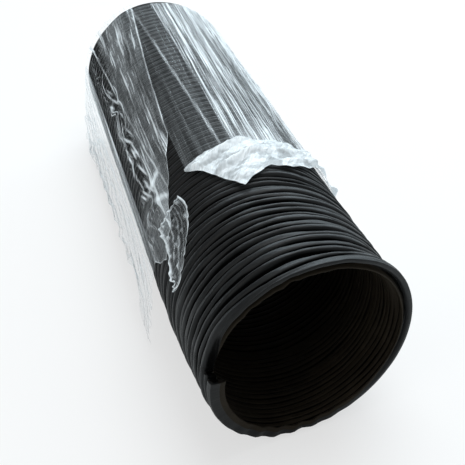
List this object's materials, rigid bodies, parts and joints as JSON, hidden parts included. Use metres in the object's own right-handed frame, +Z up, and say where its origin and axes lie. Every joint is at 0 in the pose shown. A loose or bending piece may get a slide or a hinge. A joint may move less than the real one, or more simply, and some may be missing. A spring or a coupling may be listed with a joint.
{
  "type": "flexible vacuum hose",
  "caption": "Black wire-wound flexible duct hose, packed short and held by a torn wrap of clear stretch film, with one open cut end and pleats that open as it is drawn out or bent.",
  "frame": {"origin": "on the plane that the hose lies on, under its middle line, at the rib of the underside nearest the middle of its length", "axes": "+Y along the straight, wrapped rear of the hose to its far end, +Z up, +X to the right as seen from the open cut end"},
  "size_m": [0.1195, 0.4085, 0.1127],
  "materials": {
    "black_cover": "satin coated fabric",
    "black_liner": "matt coated fabric",
    "spring_wire": "drawn spring steel",
    "stretch_film": "clear, glossy and wrinkled"
  },
  "bodies": {
    "root": {"rear_cover": "black_cover", "rear_liner": "black_liner", "rear_wire": "spring_wire", "film_sleeve": "stretch_film", "film_front_gather": "stretch_film", "film_left_strip": "stretch_film", "film_side_skirt": "stretch_film", "film_tail": "stretch_film"},
    "wire_turn_7": {"turn_7_wire": "spring_wire"},
    "hose_turn_7": {"turn_7_cover": "black_cover", "turn_7_liner": "black_liner"},
    "wire_turn_6": {"turn_6_wire": "spring_wire"},
    "hose_turn_6": {"turn_6_cover": "black_cover", "turn_6_liner": "black_liner"},
    "wire_turn_5": {"turn_5_wire": "spring_wire"},
    "hose_turn_5": {"turn_5_cover": "black_cover", "turn_5_liner": "black_liner"},
    "wire_turn_4": {"turn_4_wire": "spring_wire"},
    "hose_turn_4": {"turn_4_cover": "black_cover", "turn_4_liner": "black_liner"},
    "wire_turn_3": {"turn_3_wire": "spring_wire"},
    "hose_turn_3": {"turn_3_cover": "black_cover", "turn_3_liner": "black_liner"},
    "wire_turn_2": {"turn_2_wire": "spring_wire"},
    "hose_turn_2": {"turn_2_cover": "black_cover", "turn_2_liner": "black_liner"},
    "hose_turn_1": {"turn_1_wire": "spring_wire", "turn_1_cover": "black_cover", "turn_1_liner": "black_liner"}
  },
  "joints": [
    {"name": "extend", "type": "slide", "parent": "root", "child": "wire_turn_7", "axis": [0, -1, 0], "range_m": [0, 0.008]},
    {"name": "bend", "type": "hinge", "parent": "wire_turn_7", "child": "hose_turn_7", "pos_m": [0.05424, -0.12895, 0.05344], "axis": [0, 0, 1], "range_deg": [0, 4]},
    {"name": "extend_6", "type": "slide", "parent": "hose_turn_7", "child": "wire_turn_6", "axis": [0.024, -0.9997, 0], "range_m": [0, 0.008]},
    {"name": "bend_6", "type": "hinge", "parent": "wire_turn_6", "child": "hose_turn_6", "pos_m": [0.05433, -0.13649, 0.05344], "axis": [0, 0, 1], "range_deg": [0, 4]},
    {"name": "extend_5", "type": "slide", "parent": "hose_turn_6", "child": "wire_turn_5", "axis": [0.048, -0.9988, 0], "range_m": [0, 0.008]},
    {"name": "bend_5", "type": "hinge", "parent": "wire_turn_5", "child": "hose_turn_5", "pos_m": [0.05461, -0.14403, 0.05344], "axis": [0, 0, 1], "range_deg": [0, 4]},
    {"name": "extend_4", "type": "slide", "parent": "hose_turn_5", "child": "wire_turn_4", "axis": [0.0719, -0.9974, 0], "range_m": [0, 0.008]},
    {"name": "bend_4", "type": "hinge", "parent": "wire_turn_4", "child": "hose_turn_4", "pos_m": [0.05506, -0.15157, 0.05344], "axis": [0, 0, 1], "range_deg": [0, 4]},
    {"name": "extend_3", "type": "slide", "parent": "hose_turn_4", "child": "wire_turn_3", "axis": [0.0958, -0.9954, 0], "range_m": [0, 0.008]},
    {"name": "bend_3", "type": "hinge", "parent": "wire_turn_3", "child": "hose_turn_3", "pos_m": [0.05569, -0.15909, 0.05344], "axis": [0, 0, 1], "range_deg": [0, 4]},
    {"name": "extend_2", "type": "slide", "parent": "hose_turn_3", "child": "wire_turn_2", "axis": [0.1197, -0.9928, 0], "range_m": [0, 0.008]},
    {"name": "bend_2", "type": "hinge", "parent": "wire_turn_2", "child": "hose_turn_2", "pos_m": [0.0565, -0.16659, 0.05344], "axis": [0, 0, 1], "range_deg": [0, 4]},
    {"name": "extend_1", "type": "slide", "parent": "hose_turn_2", "child": "hose_turn_1", "axis": [0.1435, -0.9897, 0], "range_m": [0, 0.008]}
  ],
  "couplings": [
    {"joint": "extend_6", "follows": "extend", "ratio": 1},
    {"joint": "bend_6", "follows": "bend", "ratio": 1},
    {"joint": "extend_5", "follows": "extend", "ratio": 1},
    {"joint": "bend_5", "follows": "bend", "ratio": 1},
    {"joint": "extend_4", "follows": "extend", "ratio": 1},
    {"joint": "bend_4", "follows": "bend", "ratio": 1},
    {"joint": "extend_3", "follows": "extend", "ratio": 1},
    {"joint": "bend_3", "follows": "bend", "ratio": 1},
    {"joint": "extend_2", "follows": "extend", "ratio": 1},
    {"joint": "bend_2", "follows": "bend", "ratio": 1},
    {"joint": "extend_1", "follows": "extend", "ratio": 1}
  ]
}
